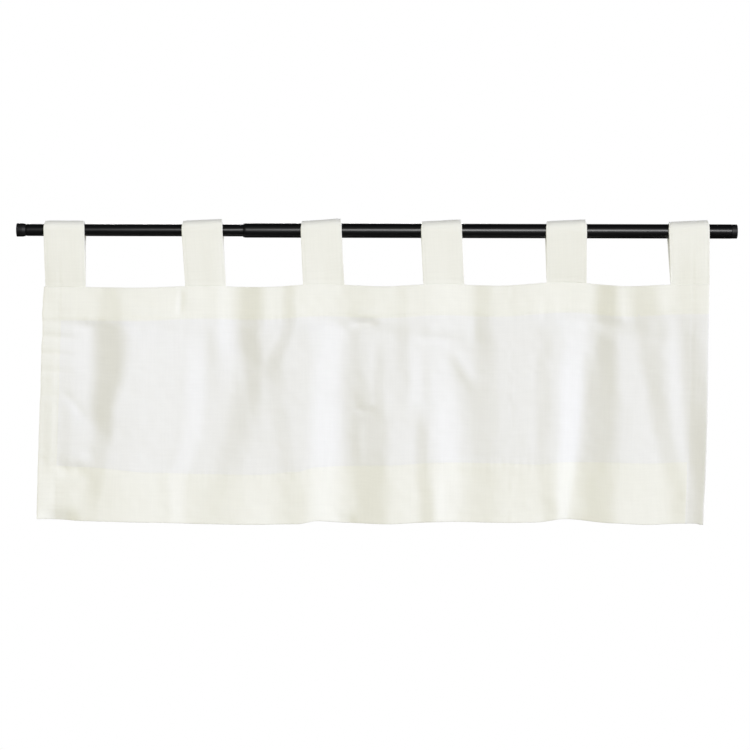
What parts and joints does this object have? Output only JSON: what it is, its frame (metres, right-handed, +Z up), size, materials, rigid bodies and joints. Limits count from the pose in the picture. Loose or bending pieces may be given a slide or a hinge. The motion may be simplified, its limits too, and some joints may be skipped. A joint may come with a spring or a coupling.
{
  "type": "tab top valance on a tension rod",
  "caption": "Short white cotton window valance with a doubled heading, deep hem and fabric tabs looped over a black telescoping tension rod.",
  "frame": {"origin": "centre of the left end cap's outer face, on the rod's axis", "axes": "+X along the rod from its left end to its right end, +Y from the front of the cloth to its back, +Z up"},
  "size_m": [0.9, 0.0324, 0.3834],
  "materials": {
    "cotton": "plain weave, matt white",
    "rod_paint": "satin black",
    "cap_rubber": "matt black"
  },
  "bodies": {
    "root": {"panel": "cotton", "heading_facing": "cotton", "tab_1": "cotton", "tab_2": "cotton", "tab_3": "cotton", "tab_4": "cotton", "tab_5": "cotton", "tab_6": "cotton", "rod_inner_tube": "rod_paint", "rod_outer_tube": "rod_paint", "rod_cap_left": "cap_rubber", "rod_cap_right": "cap_rubber"}
  },
  "joints": []
}
